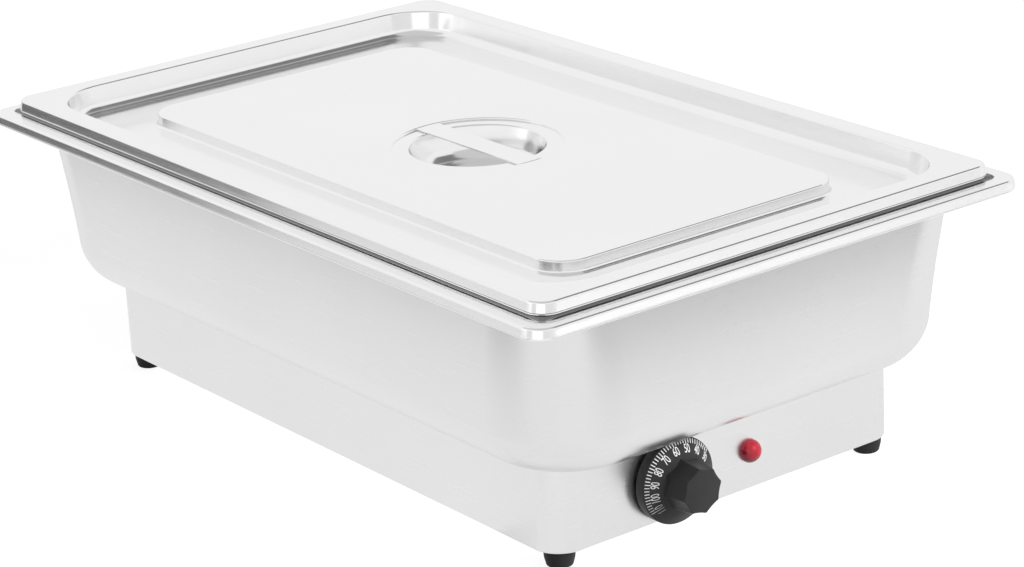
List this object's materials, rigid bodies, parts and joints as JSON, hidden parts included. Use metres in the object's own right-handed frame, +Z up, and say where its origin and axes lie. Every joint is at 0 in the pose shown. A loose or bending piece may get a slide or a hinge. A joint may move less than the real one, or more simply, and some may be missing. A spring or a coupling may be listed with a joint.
{
  "type": "electric chafing dish",
  "caption": "Electric chafing dish: loose recessed-grip lid over a full-size food pan in a heated water bath, on a plinth with a thermostat knob and pilot lamp.",
  "frame": {"origin": "middle of the rectangle under the feet, on the surface that the dish stands on", "axes": "+X along the long side towards the end with the knob, +Y along that end to the right, +Z up"},
  "size_m": [0.554, 0.349, 0.1762],
  "materials": {
    "polished_steel": "polished",
    "steel": "satin",
    "plain_steel": "mill",
    "zinc": "zinc plated",
    "aluminium": "mill",
    "element_sheath": "oxidised",
    "fibre": "matte",
    "rubber_black": "matte",
    "plastic_black": "satin",
    "bakelite": "satin",
    "white_plastic": "satin",
    "red_lens": "gloss",
    "brass": "plain",
    "copper": "plain copper",
    "wire_cover": "matte silicone"
  },
  "bodies": {
    "base": {"water_bath": "steel", "plinth": "steel", "bottom_plate": "plain_steel", "foot_1": "rubber_black", "foot_2": "rubber_black", "foot_3": "rubber_black", "foot_4": "rubber_black", "foot_screws": "zinc", "foot_nuts": "zinc", "bath_studs": "zinc", "bath_nuts": "zinc", "heat_spreader": "aluminium", "heating_element": "element_sheath", "element_clamps": "zinc", "clamp_studs": "zinc", "clamp_nuts": "zinc", "insulation_pad": "fibre", "heat_shield": "plain_steel", "shield_nuts": "zinc", "thermostat_case": "plastic_black", "thermostat_screws": "zinc", "capillary_tube": "copper", "sensor_bulb": "copper", "bulb_clip": "plain_steel", "thermal_cutout": "bakelite", "cutout_bracket": "plain_steel", "lamp_lens": "red_lens", "lamp_body": "white_plastic", "lamp_nut": "white_plastic", "terminal_block": "white_plastic", "earth_stud": "brass", "earth_nut": "brass", "internal_wires": "wire_cover", "cable_gland": "plastic_black", "gland_nut": "plastic_black"},
    "pan": {"food_pan": "polished_steel"},
    "lid": {"lid": "polished_steel", "lid_grip_bar": "polished_steel"},
    "knob": {"control_knob": "plastic_black", "thermostat_shaft": "zinc", "knob_spring": "brass"}
  },
  "joints": [
    {"name": "pan_lift", "type": "slide", "parent": "base", "child": "pan", "axis": [0, 0, 1], "range_m": [0, 0.12]},
    {"name": "lid_lift", "type": "slide", "parent": "pan", "child": "lid", "axis": [0, 0, 1], "range_m": [0, 0.12]},
    {"name": "knob_turn", "type": "hinge", "parent": "base", "child": "knob", "pos_m": [0.235, -0.0458, 0.0348], "axis": [-1, 0, 0], "range_deg": [0, 215]}
  ]
}
